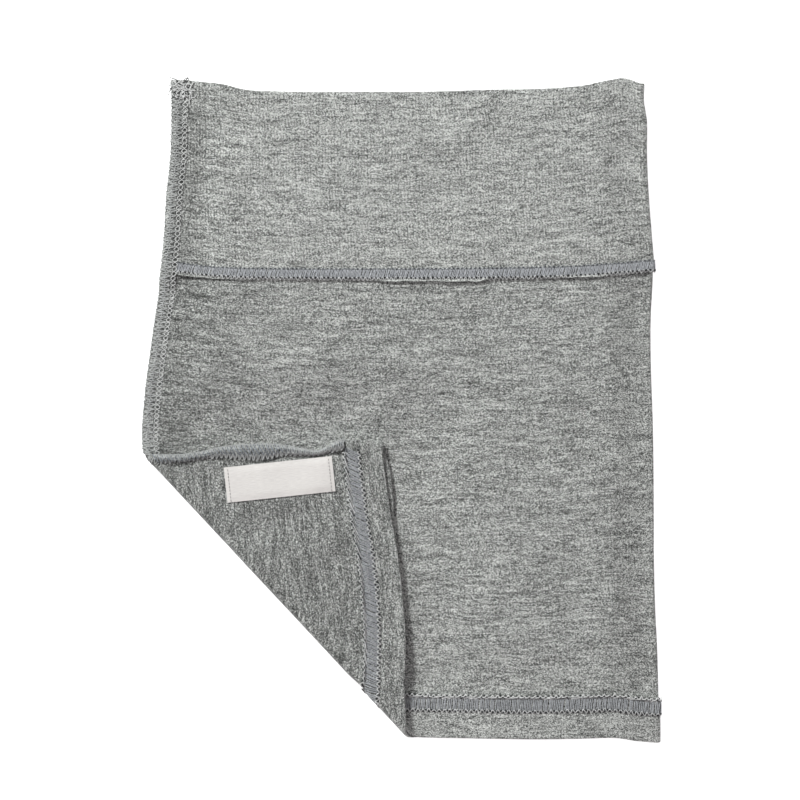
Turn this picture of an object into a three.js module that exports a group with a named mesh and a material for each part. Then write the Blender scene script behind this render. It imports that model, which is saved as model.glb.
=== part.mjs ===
// Underscarf cap of jersey: a soft tube, laid flat and inside out, with one lower corner turned up over its
// front. Millimetres. +X is to the right, +Y runs from the hem to the face band, +Z is up from the surface
// it lies on. Every piece is first shaped as if the corner were unfolded, then carried round the fold.

import * as THREE from 'three';

// Sizes of the sewn cap, laid flat
const HEM_WIDTH = 244.7;
const BAND_WIDTH = 211;
const HEM_DEPTH = 18.9;
const BODY_DEPTH = 197.6;
const BAND_DEPTH = 80.9;
const PLY = 0.8;
const SERGE_WIDTH = 5.3;
const ALLOWANCE_DEPTH = 6.7;
const ALLOWANCE_THICKNESS = 0.5;
const EDGE_ROUNDING = 0.3;
const EDGE_THINNING = 0.3;

// Label
const LABEL_LENGTH = 50;
const LABEL_WIDTH = 16.3;
const LABEL_THICKNESS = 0.5;
const LABEL_ABOVE_HEM = 7.0;
const LABEL_FROM_SEAM = 1.0;
const LABEL_TILT = 2.0;

// How the tube lies: clear height inside it, gap where it is pressed, and run of each slope
const LOFT_HEIGHT = 6.2;
const PRESSED_GAP = 0.35;
const RIGHT_EDGE_GAP = 1.2;
const LEFT_SLOPE = 26;
const RIGHT_SLOPE = 20;
const FLAP_SLOPE = 38;
const JOINT_SLOPE = 9;

// The turned-up corner: where its crease meets the seam and the hem, how round the crease is, and how it
// settles. The crease's rise is a share of the hem's extra plies, and the hem's hold is the share of the
// settling that it keeps off.
const FOLD_UP_SEAM = 119.8;
const FOLD_ALONG_HEM = 128.5;
const CREASE_RADIUS = 3.0;
const CREASE_RISE = 0.65;
const SETTLE_RUN = 14;
const HEM_HOLD = 0.7;
const HEM_HOLD_RUN = 45;
const FLAP_MARGIN = 1;
const HEM_SLIP = 2.5;
const SLIP_SHARE = 0.3;

// Clearances between pieces
const CLEARANCE = 0.3;
const JOIN_GAP = 0.45;
const FLAP_CLEARANCE = 0.35;

// Fineness of the faceted walls
const COLUMNS = 17;
const BODY_ROWS = 24;
const BAND_ROWS = 5;
const CREASE_STEPS = 6;
const SETTLE_STEPS = 2;
const RIGHT_BEND_STEPS = 3;
const LEFT_BEND_STEPS = 2;
const SNAP = 0.25;
const KEY_DIGITS = 6;

// Outline up the tube. up is a share of the whole length, flare of the difference between the two widths,
// and lean, the shift of the middle, of the hem width.
const SIDES = [
  { up: 0.000, flare: 1.00, lean: -0.0147 },
  { up: 0.067, flare: 0.98, lean: -0.0141 },
  { up: 0.140, flare: 0.80, lean: -0.0038 },
  { up: 0.200, flare: 0.80, lean: -0.0075 },
  { up: 0.275, flare: 0.66, lean: -0.0004 },
  { up: 0.343, flare: 0.52, lean: 0.0090 },
  { up: 0.433, flare: 0.56, lean: 0.0054 },
  { up: 0.503, flare: 0.51, lean: 0.0070 },
  { up: 0.570, flare: 0.42, lean: 0.0103 },
  { up: 0.638, flare: 0.34, lean: 0.0155 },
  { up: 0.708, flare: 0.28, lean: 0.0234 },
  { up: 0.768, flare: 0.19, lean: 0.0246 },
  { up: 0.825, flare: 0.12, lean: 0.0240 },
  { up: 0.885, flare: 0.04, lean: 0.0262 },
  { up: 0.942, flare: 0.02, lean: 0.0272 },
  { up: 0.973, flare: -0.02, lean: 0.0242 },
  { up: 1.000, flare: 0.00, lean: 0.0244 },
];

// Waves of the hem edge, the joining seam and the band's folded edge, from the seam side to the right.
// across is a share of the width, the rises are shares of the whole length, and slip, by which the front
// wall's hem hangs past the back wall's, is a share of the hem's slip.
const COURSES = [
  { across: 0.00, hem: 0.0690, joint: 0.0094, top: 0.0188, slip: 0.3 },
  { across: 0.04, hem: 0.0639, joint: 0.0050, top: 0.0155, slip: 1.0 },
  { across: 0.08, hem: 0.0570, joint: 0.0020, top: 0.0120, slip: 1.0 },
  { across: 0.13, hem: 0.0479, joint: 0.0000, top: 0.0032, slip: 0.9 },
  { across: 0.19, hem: 0.0354, joint: -0.0007, top: 0.0010, slip: 0.4 },
  { across: 0.26, hem: 0.0239, joint: -0.0010, top: 0.0000, slip: 0.0 },
  { across: 0.35, hem: 0.0136, joint: -0.0010, top: 0.0000, slip: 0.0 },
  { across: 0.45, hem: 0.0090, joint: -0.0010, top: 0.0000, slip: 0.0 },
  { across: 0.52, hem: 0.0030, joint: -0.0008, top: 0.0003, slip: 0.0 },
  { across: 0.58, hem: 0.0010, joint: -0.0005, top: 0.0010, slip: 0.0 },
  { across: 0.65, hem: 0.0007, joint: 0.0000, top: 0.0030, slip: 0.0 },
  { across: 0.78, hem: -0.0007, joint: 0.0017, top: 0.0047, slip: 0.0 },
  { across: 0.87, hem: 0.0007, joint: 0.0044, top: 0.0094, slip: 0.0 },
  { across: 0.925, hem: 0.0013, joint: 0.0074, top: 0.0171, slip: 0.0 },
  { across: 0.965, hem: -0.0040, joint: 0.0101, top: 0.0215, slip: 0.0 },
  { across: 1.00, hem: -0.0067, joint: 0.0124, top: 0.0141, slip: 0.0 },
];

// The seam edge of the turned-up corner, above the hem. up is a share of the fold's length up the seam.
// reach, by which the wall runs out past its plain outline, and width, of the allowance rolled up beside it,
// are shares of the serged width.
const ROLLED_SEAM = [
  { up: 0.170, reach: 0.26, width: 0.78 },
  { up: 0.200, reach: 0.26, width: 0.74 },
  { up: 0.234, reach: 0.34, width: 0.50 },
  { up: 0.267, reach: 0.34, width: 0.36 },
  { up: 0.300, reach: 0.47, width: 0.38 },
  { up: 0.334, reach: 0.62, width: 0.50 },
  { up: 0.401, reach: 0.58, width: 0.74 },
  { up: 0.467, reach: 0.10, width: 1.06 },
  { up: 0.534, reach: -0.02, width: 1.18 },
  { up: 0.601, reach: 0.22, width: 1.06 },
  { up: 0.668, reach: 0.56, width: 0.80 },
  { up: 0.735, reach: 0.66, width: 0.67 },
  { up: 0.801, reach: 0.70, width: 0.69 },
  { up: 0.868, reach: 0.66, width: 0.71 },
  { up: 0.930, reach: 0.45, width: 0.78 },
  { up: 1.000, reach: 0.00, width: 1.00 },
];

// Levels up the length, from the hem edge
const HEM_TOP = HEM_DEPTH;
const JOINT = HEM_DEPTH + BODY_DEPTH;
const LENGTH = HEM_DEPTH + BODY_DEPTH + BAND_DEPTH;
const DOUBLE_PLY = 2 * PLY;
const ALLOWANCE_LIFT = ALLOWANCE_THICKNESS + CLEARANCE;
const SLIP_REACH = SLIP_SHARE * BODY_DEPTH;

// The hem takes the side allowance in, so that its own edge lies where the allowance's would
const HEM_REACH = SERGE_WIDTH + CLEARANCE;

// Places around the tube: 0 to 1 across the front, 1 to 2 round the right edge, 2 to 3 back across the
// back, 3 to 4 round the seam edge
const RIGHT_EDGE = 1;
const BACK_START = 2;
const SEAM_EDGE = 3;
const FULL_TURN = 4;

function smooth(share) {
  const x = THREE.MathUtils.clamp(share, 0, 1);
  return x * x * (3 - 2 * x);
}

// A smooth curve through one column of a table
function follow(rows, place, column, at) {
  let i = 1;
  while (i < rows.length - 1 && rows[i][place] < at) i += 1;
  const before = rows[Math.max(i - 2, 0)];
  const start = rows[i - 1];
  const end = rows[i];
  const after = rows[Math.min(i + 1, rows.length - 1)];
  const span = end[place] - start[place];
  const x = THREE.MathUtils.clamp((at - start[place]) / span, 0, 1);
  const startSlope = (end[column] - before[column]) / (end[place] - before[place]);
  const endSlope = (after[column] - start[column]) / (after[place] - start[place]);
  const x2 = x * x;
  const x3 = x2 * x;
  return (2 * x3 - 3 * x2 + 1) * start[column] + (x3 - 2 * x2 + x) * span * startSlope
    + (3 * x2 - 2 * x3) * end[column] + (x3 - x2) * span * endSlope;
}

function halfWidth(up) {
  const flare = follow(SIDES, 'up', 'flare', up / LENGTH);
  return 0.5 * (BAND_WIDTH + (HEM_WIDTH - BAND_WIDTH) * flare);
}

function middle(up) {
  return HEM_WIDTH * follow(SIDES, 'up', 'lean', up / LENGTH);
}

// The laid height of a point of the cloth, from the three wavy courses
function course(across, up) {
  const hem = LENGTH * follow(COURSES, 'across', 'hem', across);
  const joint = JOINT + LENGTH * follow(COURSES, 'across', 'joint', across);
  const top = LENGTH + LENGTH * follow(COURSES, 'across', 'top', across);
  const y = up < JOINT
    ? THREE.MathUtils.lerp(hem, joint, up / JOINT)
    : THREE.MathUtils.lerp(joint, top, (up - JOINT) / BAND_DEPTH);
  return y - 0.5 * LENGTH;
}

function slip(across, up) {
  return HEM_SLIP * follow(COURSES, 'across', 'slip', across) * smooth(1 - up / SLIP_REACH);
}

// 1 where the walls are doubled, falling to 0 down each joint's slope
function doubledAtHem(up) {
  return smooth((HEM_TOP + JOINT_SLOPE - up) / JOINT_SLOPE);
}

function doubledAtBand(up) {
  return smooth((up - JOINT + JOIN_GAP + ALLOWANCE_DEPTH + JOINT_SLOPE) / JOINT_SLOPE);
}

// Height of the back wall's inner face above the surface
function backInside(up) {
  if (up <= HEM_TOP || up >= JOINT) return DOUBLE_PLY;
  return PLY + PLY * doubledAtHem(up) + ALLOWANCE_LIFT * doubledAtBand(up);
}

// Height of both walls pressed together, as thick as at the nearest doubled part
function pressedStack(up) {
  const doubled = Math.max(doubledAtHem(up), doubledAtBand(up));
  return DOUBLE_PLY + PRESSED_GAP + DOUBLE_PLY * doubled;
}

// Where a plain allowance begins, beside the seam edge of a single or doubled wall, and where it ends
function plainLine(up) {
  const doubled = Math.max(doubledAtHem(up), doubledAtBand(up));
  return middle(up) - halfWidth(up) - PLY * doubled - CLEARANCE;
}

function plainSide(up) {
  return new THREE.Vector2(plainLine(up) - SERGE_WIDTH, course(0, up));
}

// How far the wall runs out past its plain outline, and the same two lines of the rolled allowance
function seamReach(up) {
  if (up <= HEM_TOP) return HEM_REACH;
  return SERGE_WIDTH * follow(ROLLED_SEAM, 'up', 'reach', up / FOLD_UP_SEAM);
}

function seamLine(up) {
  return plainLine(up) - seamReach(up);
}

function allowanceWidth(up) {
  if (up <= HEM_TOP) return 0;
  return SERGE_WIDTH * follow(ROLLED_SEAM, 'up', 'width', up / FOLD_UP_SEAM);
}

function seamSide(up) {
  return new THREE.Vector2(seamLine(up) - allowanceWidth(up), course(0, up));
}

function hemSide(across) {
  const x = THREE.MathUtils.lerp(middle(0) - halfWidth(0) - HEM_REACH, middle(0) + halfWidth(0), across);
  return new THREE.Vector2(x, course(across, 0));
}

// The crease: a straight line from the seam edge to the hem edge, and the side of it that is turned up
const CREASE_ACROSS = (FOLD_ALONG_HEM + HEM_REACH) / (HEM_WIDTH + HEM_REACH);
const creaseStart = plainSide(FOLD_UP_SEAM);
const creaseEnd = hemSide(CREASE_ACROSS);
const creaseRun = creaseEnd.clone().sub(creaseStart).normalize();
const turnedSide = new THREE.Vector2(creaseRun.y, -creaseRun.x);

function pastCrease(x, y) {
  return (x - creaseStart.x) * turnedSide.x + (y - creaseStart.y) * turnedSide.y;
}

function mirrored(point) {
  return point.clone().addScaledVector(turnedSide, -2 * pastCrease(point.x, point.y));
}

// How far the turned-up corner reaches over the front
const EDGE_SAMPLES = 60;
const flapReach = { x: -Infinity, y: -Infinity };
for (let i = 0; i <= EDGE_SAMPLES; i += 1) {
  const share = i / EDGE_SAMPLES;
  for (const point of [seamSide(share * FOLD_UP_SEAM), hemSide(share * CREASE_ACROSS)]) {
    const landed = mirrored(point);
    flapReach.x = Math.max(flapReach.x, landed.x + HEM_SLIP + FLAP_MARGIN);
    flapReach.y = Math.max(flapReach.y, landed.y + FLAP_MARGIN);
  }
}

// 1 where the tube stands open at its full height, 0 at its edges and under the turned-up corner
function openness(x, y, fromLeft, fromRight) {
  const beside = Math.max(x - flapReach.x, 0);
  const above = Math.max(y - flapReach.y, 0);
  const clearOfFlap = smooth(Math.hypot(beside, above) / FLAP_SLOPE);
  return clearOfFlap * smooth(fromLeft / LEFT_SLOPE) * smooth(fromRight / RIGHT_SLOPE);
}

// Gap inside the tube at its two edges
function edgeGap(across) {
  return THREE.MathUtils.lerp(PRESSED_GAP, RIGHT_EDGE_GAP, smooth(2 * across - 1));
}

// A point of the tube, before the fold: place around it, length up it, and distance out from its inner face
function tubePoint(around, up, out) {
  const rightGap = edgeGap(1);
  const leftGap = edgeGap(0);
  const left = middle(up) - halfWidth(up) + PLY + 0.5 * leftGap - seamReach(up);
  const right = middle(up) + halfWidth(up) - PLY - 0.5 * rightGap;
  const inside = backInside(up);
  if (around <= RIGHT_EDGE) {
    const x = THREE.MathUtils.lerp(left, right, around);
    const y = course(around, up);
    const pressed = inside + edgeGap(around);
    const open = openness(x, y, x - left, right - x);
    const z = THREE.MathUtils.lerp(pressed, LOFT_HEIGHT, open) + out;
    return { x, y: y - slip(around, up), z, up };
  }
  if (around < BACK_START) {
    const turn = Math.PI * (around - RIGHT_EDGE);
    const radius = 0.5 * rightGap + out;
    const z = inside + 0.5 * rightGap + radius * Math.cos(turn);
    return { x: right + radius * Math.sin(turn), y: course(1, up), z, up };
  }
  if (around <= SEAM_EDGE) {
    const across = SEAM_EDGE - around;
    return { x: THREE.MathUtils.lerp(left, right, across), y: course(across, up), z: inside - out, up };
  }
  const turn = Math.PI * (around - SEAM_EDGE);
  const radius = 0.5 * leftGap + out;
  const z = inside + 0.5 * leftGap - radius * Math.cos(turn);
  const slipped = slip(0, up) * (around - SEAM_EDGE);
  return { x: left - radius * Math.sin(turn), y: course(0, up) - slipped, z, up };
}

// Height of the crease's axis, which rises where the crease runs through the hem
function creaseHeight(x, y) {
  const along = (x - creaseStart.x) * creaseRun.x + (y - creaseStart.y) * creaseRun.y;
  const lineY = creaseStart.y + along * creaseRun.y;
  const hemTopY = creaseEnd.y + HEM_DEPTH;
  const atHem = smooth((hemTopY + 2 * JOINT_SLOPE - lineY) / (2 * JOINT_SLOPE));
  return CREASE_RADIUS + CREASE_RISE * DOUBLE_PLY * atHem;
}

// Carries a point round the crease: flat before it, half a turn round it, then upside down over the front
function fold({ x, y, z, up }) {
  const past = pastCrease(x, y);
  const height = creaseHeight(x, y);
  if (past <= -height) return new THREE.Vector3(x, y, z);
  if (past < height) {
    const turn = 0.5 * Math.PI * (past / height + 1);
    const radius = height - z;
    const landed = -height + radius * Math.sin(turn);
    const shift = landed - past;
    return new THREE.Vector3(
      x + shift * turnedSide.x,
      y + shift * turnedSide.y,
      height - radius * Math.cos(turn),
    );
  }
  const landed = { x: x - 2 * past * turnedSide.x, y: y - 2 * past * turnedSide.y };
  const underneath = pressedStack(Math.max(landed.y - creaseEnd.y, 0));
  const spare = Math.max(2 * height - pressedStack(up) - underneath - FLAP_CLEARANCE, 0);
  const held = HEM_HOLD * smooth(1 - up / HEM_HOLD_RUN);
  const settled = smooth((past - height) / SETTLE_RUN) * (1 - held);
  return new THREE.Vector3(landed.x, landed.y, 2 * height - z - spare * settled);
}

// Lines along which the walls are creased: steps round the turn, then steps of the settling run
function creaseLines() {
  const lines = [];
  for (let i = 0; i <= CREASE_STEPS; i += 1) {
    const share = 2 * i / CREASE_STEPS - 1;
    lines.push(({ x, y }) => pastCrease(x, y) - share * creaseHeight(x, y));
  }
  for (let i = 1; i <= SETTLE_STEPS; i += 1) {
    lines.push(({ x, y }) => pastCrease(x, y) - creaseHeight(x, y) - SETTLE_RUN * i / SETTLE_STEPS);
  }
  return lines;
}

// Splits one cell, a loop of [around, up] corners, along a line
function splitCell(cell, offLine) {
  const offsets = cell.map((corner) => {
    const offset = offLine(corner);
    return Math.abs(offset) < SNAP ? 0 : offset;
  });
  if (Math.min(...offsets) >= 0 || Math.max(...offsets) <= 0) return [cell];
  const low = [];
  const high = [];
  cell.forEach((corner, i) => {
    const j = (i + 1) % cell.length;
    if (offsets[i] <= 0) low.push(corner);
    if (offsets[i] >= 0) high.push(corner);
    if (offsets[i] * offsets[j] < 0) {
      const share = offsets[i] / (offsets[i] - offsets[j]);
      const next = cell[j];
      const crossing = [0, 1].map((k) => corner[k] + share * (next[k] - corner[k]));
      low.push(crossing);
      high.push(crossing);
    }
  });
  return [low, high];
}

// A closed wall between an outer and an inner face over a grid of places around and up
function wall({ around, up, closed, outer, inner }) {
  let cells = [];
  for (let i = 0; i + 1 < around.length; i += 1) {
    for (let j = 0; j + 1 < up.length; j += 1) {
      const [a, b] = [around[i], around[i + 1]];
      const [c, d] = [up[j], up[j + 1]];
      cells.push([[a, c], [b, c], [b, d], [a, d]]);
    }
  }
  const between = ([a, b]) => {
    const p = outer(a, b);
    const q = inner(a, b);
    return { x: 0.5 * (p.x + q.x), y: 0.5 * (p.y + q.y) };
  };
  for (const line of creaseLines()) {
    cells = cells.flatMap((cell) => splitCell(cell, (corner) => line(between(corner))));
  }
  const positions = [];
  const numbers = new Map();
  const numberOf = ([a, b]) => {
    const turn = closed ? a % FULL_TURN : a;
    const key = `${turn.toFixed(KEY_DIGITS)} ${b.toFixed(KEY_DIGITS)}`;
    if (!numbers.has(key)) {
      numbers.set(key, positions.length / 2);
      positions.push(fold(outer(turn, b)), fold(inner(turn, b)));
    }
    return numbers.get(key);
  };
  const triangles = [];
  for (const cell of cells) {
    const corners = cell.map(numberOf);
    for (let i = 1; i + 1 < corners.length; i += 1) {
      triangles.push([corners[0], corners[i], corners[i + 1]]);
    }
  }
  const edges = new Set();
  for (const [a, b, c] of triangles) {
    edges.add(`${a} ${b}`);
    edges.add(`${b} ${c}`);
    edges.add(`${c} ${a}`);
  }
  const index = [];
  for (const [a, b, c] of triangles) {
    index.push(2 * a, 2 * b, 2 * c);
    index.push(2 * c + 1, 2 * b + 1, 2 * a + 1);
    for (const [from, to] of [[a, b], [b, c], [c, a]]) {
      if (edges.has(`${to} ${from}`)) continue;
      index.push(2 * to, 2 * from, 2 * from + 1);
      index.push(2 * to, 2 * from + 1, 2 * to + 1);
    }
  }
  return solidOf(positions, index);
}

// A geometry with its faces turned outwards
function solidOf(positions, index) {
  let volume = 0;
  for (let i = 0; i < index.length; i += 3) {
    const [a, b, c] = [positions[index[i]], positions[index[i + 1]], positions[index[i + 2]]];
    volume += a.dot(b.clone().cross(c));
  }
  if (volume < 0) index.reverse();
  const geometry = new THREE.BufferGeometry();
  const coordinates = positions.flatMap((point) => point.toArray());
  geometry.setAttribute('position', new THREE.Float32BufferAttribute(coordinates, 3));
  geometry.setIndex(index);
  geometry.computeVertexNormals();
  return geometry;
}

function spread(from, to, steps) {
  return Array.from({ length: steps + 1 }, (_, i) => THREE.MathUtils.lerp(from, to, i / steps));
}

// Places around the whole tube
function ringPlaces() {
  return [
    ...spread(0, RIGHT_EDGE, COLUMNS),
    ...spread(RIGHT_EDGE, BACK_START, RIGHT_BEND_STEPS).slice(1),
    ...spread(BACK_START, SEAM_EDGE, COLUMNS).slice(1),
    ...spread(SEAM_EDGE, FULL_TURN, LEFT_BEND_STEPS).slice(1),
  ];
}

// Levels up the body, closer where it slopes up on the hem and on the band's allowance
function bodyLevels() {
  const bottom = HEM_TOP + JOIN_GAP;
  const top = JOINT - JOIN_GAP;
  const slopeFoot = top - ALLOWANCE_DEPTH - JOINT_SLOPE;
  return [
    bottom,
    ...spread(bottom + 0.5 * JOINT_SLOPE, bottom + JOINT_SLOPE, 1),
    ...spread(bottom + JOINT_SLOPE, slopeFoot, BODY_ROWS).slice(1),
    slopeFoot + 0.5 * JOINT_SLOPE,
    ...spread(slopeFoot + JOINT_SLOPE, top, 1),
  ];
}

// Single jersey
function bodyWall() {
  return wall({
    around: ringPlaces(),
    up: bodyLevels(),
    closed: true,
    outer: (a, b) => tubePoint(a, b, PLY),
    inner: (a, b) => tubePoint(a, b, 0),
  });
}

// Doubled jersey with one rounded, folded edge
function doubledWall(up, foldedEdge) {
  const taper = (b) => EDGE_ROUNDING * DOUBLE_PLY * smooth(1 - Math.abs(b - foldedEdge) / DOUBLE_PLY);
  return wall({
    around: ringPlaces(),
    up,
    closed: true,
    outer: (a, b) => tubePoint(a, b, DOUBLE_PLY - taper(b)),
    inner: (a, b) => tubePoint(a, b, taper(b)),
  });
}

function bandWall() {
  return doubledWall([...spread(JOINT, LENGTH - DOUBLE_PLY, BAND_ROWS), LENGTH], LENGTH);
}

function hemWall() {
  return doubledWall([0, ...spread(DOUBLE_PLY, HEM_TOP, 2)], 0);
}

// The joining seam's allowance, from the seam edge over the front, round the right edge and along the back
function bandSeamWall() {
  const under = PLY + CLEARANCE;
  const top = JOINT - JOIN_GAP;
  return wall({
    around: ringPlaces().filter((place) => place <= SEAM_EDGE),
    up: [top - ALLOWANCE_DEPTH, top],
    closed: false,
    outer: (a, b) => tubePoint(a, b, under + ALLOWANCE_THICKNESS),
    inner: (a, b) => tubePoint(a, b, under),
  });
}

// The overlocked allowance beside the seam edge, from the hem up, crowned and thinner at its free edge
function sideSeamWall() {
  const place = (out, up, z) => {
    return { x: seamLine(up) - allowanceWidth(up) * out, y: course(0, up), z, up };
  };
  const thin = (out) => EDGE_THINNING * smooth(2 * out - 1);
  return wall({
    around: [0, 0.5, 1],
    up: [...bodyLevels(), ...spread(JOINT, LENGTH, BAND_ROWS)],
    closed: false,
    outer: (out, up) => place(out, up, pressedStack(up) * (1 - thin(out))),
    inner: (out, up) => place(out, up, pressedStack(up) * thin(out)),
  });
}

// The woven label, sewn flat on the back wall beside the seam
function labelWall() {
  const stretch = FOLD_UP_SEAM / plainSide(0).distanceTo(plainSide(FOLD_UP_SEAM));
  const low = HEM_TOP + LABEL_ABOVE_HEM * stretch;
  const high = low + LABEL_LENGTH * stretch;
  const tilt = THREE.MathUtils.degToRad(-LABEL_TILT);
  const direction = plainSide(high).sub(plainSide(low)).normalize().rotateAround(new THREE.Vector2(), tilt);
  const inward = new THREE.Vector2(direction.y, -direction.x);
  const nearSide = SERGE_WIDTH + CLEARANCE + LABEL_FROM_SEAM;
  const base = plainSide(0.5 * (low + high))
    .addScaledVector(direction, -0.5 * LABEL_LENGTH)
    .addScaledVector(inward, nearSide);
  const place = (out, along, z) => {
    const point = base.clone()
      .addScaledVector(inward, out)
      .addScaledVector(direction, along);
    return { x: point.x, y: point.y, z, up: low + along * stretch };
  };
  return wall({
    around: spread(0, LABEL_WIDTH, 2),
    up: spread(0, LABEL_LENGTH, 5),
    closed: false,
    outer: (out, along) => place(out, along, -CLEARANCE - LABEL_THICKNESS),
    inner: (out, along) => place(out, along, -CLEARANCE),
  });
}

function cloth(color, roughness) {
  return new THREE.MeshStandardMaterial({ color, roughness, metalness: 0 });
}

const heather = cloth(0xa0a29f, 0.95);
const thread = cloth(0x9fa1a4, 0.85);
const woven = cloth(0xebe8e4, 0.7);

function piece(name, geometry, material) {
  const mesh = new THREE.Mesh(geometry, material);
  mesh.name = name;
  return mesh;
}

const group = new THREE.Group();
group.add(
  piece('body', bodyWall(), heather.clone()),
  piece('band', bandWall(), heather.clone()),
  piece('band_seam', bandSeamWall(), thread.clone()),
  piece('hem', hemWall(), heather.clone()),
  piece('side_seam', sideSeamWall(), thread.clone()),
  piece('label', labelWall(), woven.clone()),
);

// The origin is on the surface, under the middle of the whole piece
const box = new THREE.Box3().setFromObject(group);
const centre = box.getCenter(new THREE.Vector3());
group.position.set(-centre.x, -centre.y, -box.min.z);

export default group;
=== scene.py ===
"""Underscarf cap of heather jersey, laid flat and inside out, with one lower corner turned up over its front.

Every piece is shaped on the flat tube in millimetres, as the part's own walls are, and is then carried round the
fold of the corner. The last step moves it into the frame's own place, in metres.
"""
import math

import bmesh
import bpy
import numpy as np
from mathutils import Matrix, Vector


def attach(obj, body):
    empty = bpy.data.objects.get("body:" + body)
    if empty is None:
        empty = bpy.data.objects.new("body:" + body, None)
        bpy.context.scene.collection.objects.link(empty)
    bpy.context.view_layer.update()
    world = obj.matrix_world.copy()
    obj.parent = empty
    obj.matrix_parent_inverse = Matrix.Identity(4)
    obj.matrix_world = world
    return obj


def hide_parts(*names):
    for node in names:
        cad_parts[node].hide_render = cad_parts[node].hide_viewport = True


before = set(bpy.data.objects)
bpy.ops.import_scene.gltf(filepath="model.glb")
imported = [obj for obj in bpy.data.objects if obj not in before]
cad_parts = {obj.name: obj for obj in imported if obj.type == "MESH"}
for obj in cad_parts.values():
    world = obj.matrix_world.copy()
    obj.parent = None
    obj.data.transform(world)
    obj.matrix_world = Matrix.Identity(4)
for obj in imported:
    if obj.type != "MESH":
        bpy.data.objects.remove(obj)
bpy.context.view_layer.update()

MM = 0.001
rng = np.random.default_rng(11)

# Sizes of the sewn cap, laid flat, in millimetres
HEM_WIDTH = 244.7
BAND_WIDTH = 211.0
HEM_DEPTH = 18.9
BODY_DEPTH = 197.6
BAND_DEPTH = 80.9
PLY = 0.8
SERGE_WIDTH = 5.3
ALLOWANCE_DEPTH = 6.7
ALLOWANCE_THICKNESS = 0.5
LABEL_LENGTH = 50.0
LABEL_WIDTH = 16.3
LABEL_THICKNESS = 0.5
LABEL_ABOVE_HEM = 7.0
LABEL_FROM_SEAM = 1.0
LABEL_TILT = math.radians(2.0)

# How the tube lies
LOFT_HEIGHT = 6.2
PRESSED_GAP = 0.35
RIGHT_EDGE_GAP = 1.2
LEFT_SLOPE = 26.0
RIGHT_SLOPE = 20.0
FLAP_SLOPE = 38.0
JOINT_SLOPE = 9.0

# The turned-up corner
FOLD_UP_SEAM = 119.8
FOLD_ALONG_HEM = 128.5
CREASE_RADIUS = 3.0
CREASE_RISE = 0.65
SETTLE_RUN = 14.0
HEM_HOLD = 0.7
HEM_HOLD_RUN = 45.0
FLAP_MARGIN = 1.0
HEM_SLIP = 2.5
SLIP_SHARE = 0.3
CLEARANCE = 0.3
JOIN_GAP = 0.45
FLAP_CLEARANCE = 0.35
EDGE_THINNING = 0.3

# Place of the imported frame's origin on the tube, in millimetres
ORIGIN = np.array([-0.015, -1.913, 0.0])

# Outline up the tube: up as a share of the length, flare between the two widths, lean as a share of the hem width
SIDES = np.array([
    (0, 1, -0.0147), (0.067, 0.98, -0.0141), (0.14, 0.8, -0.0038), (0.2, 0.8, -0.0075), (0.275, 0.66, -0.0004),
    (0.343, 0.52, 0.009), (0.433, 0.56, 0.0054), (0.503, 0.51, 0.007), (0.57, 0.42, 0.0103), (0.638, 0.34, 0.0155),
    (0.708, 0.28, 0.0234), (0.768, 0.19, 0.0246), (0.825, 0.12, 0.024), (0.885, 0.04, 0.0262), (0.942, 0.02, 0.0272),
    (0.973, -0.02, 0.0242), (1, 0, 0.0244),
])

# Waves of the hem edge, the joining seam and the band's edge: across, hem, joint, top, slip of the front hem
COURSES = np.array([
    (0, 0.069, 0.0094, 0.0188, 0.3), (0.04, 0.0639, 0.005, 0.0155, 1), (0.08, 0.057, 0.002, 0.012, 1),
    (0.13, 0.0479, 0, 0.0032, 0.5), (0.19, 0.0354, -0.0007, 0.001, 0), (0.26, 0.0239, -0.001, 0, 0),
    (0.35, 0.0136, -0.001, 0, 0), (0.45, 0.009, -0.001, 0, 0), (0.52, 0.003, -0.0008, 0.0003, 0),
    (0.58, 0.001, -0.0005, 0.001, 0), (0.65, 0.0007, 0, 0.003, 0), (0.78, -0.0007, 0.0017, 0.0047, 0),
    (0.87, 0.0007, 0.0044, 0.0094, 0), (0.925, 0.0013, 0.0074, 0.0171, 0), (0.965, -0.004, 0.0101, 0.0215, 0),
    (1, -0.0067, 0.0124, 0.0141, 0),
])

# The rolled seam edge of the turned-up corner: up, reach of the wall, width of the allowance beside it
ROLLED_SEAM = np.array([
    (0.17, 0.26, 0.78), (0.2, 0.26, 0.74), (0.234, 0.34, 0.5), (0.267, 0.34, 0.36), (0.3, 0.47, 0.38),
    (0.334, 0.62, 0.5), (0.401, 0.58, 0.74), (0.467, 0.1, 1.06), (0.534, -0.02, 1.18), (0.601, 0.22, 1.06),
    (0.668, 0.56, 0.8), (0.735, 0.66, 0.67), (0.801, 0.7, 0.69), (0.868, 0.66, 0.71), (0.93, 0.45, 0.78), (1, 0, 1),
])

HEM_TOP = HEM_DEPTH
JOINT = HEM_DEPTH + BODY_DEPTH
LENGTH = HEM_DEPTH + BODY_DEPTH + BAND_DEPTH
DOUBLE_PLY = 2 * PLY
ALLOWANCE_LIFT = ALLOWANCE_THICKNESS + CLEARANCE
SLIP_REACH = SLIP_SHARE * BODY_DEPTH
HEM_REACH = SERGE_WIDTH + CLEARANCE
CORNER_ROUND = 2.4

# Places around the tube: 0 to 1 across the front, to 2 round the right edge, to 3 along the back, to 4 round the seam
RIGHT_EDGE, BACK_START, SEAM_EDGE, FULL_TURN = 1, 2, 3, 4

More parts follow.
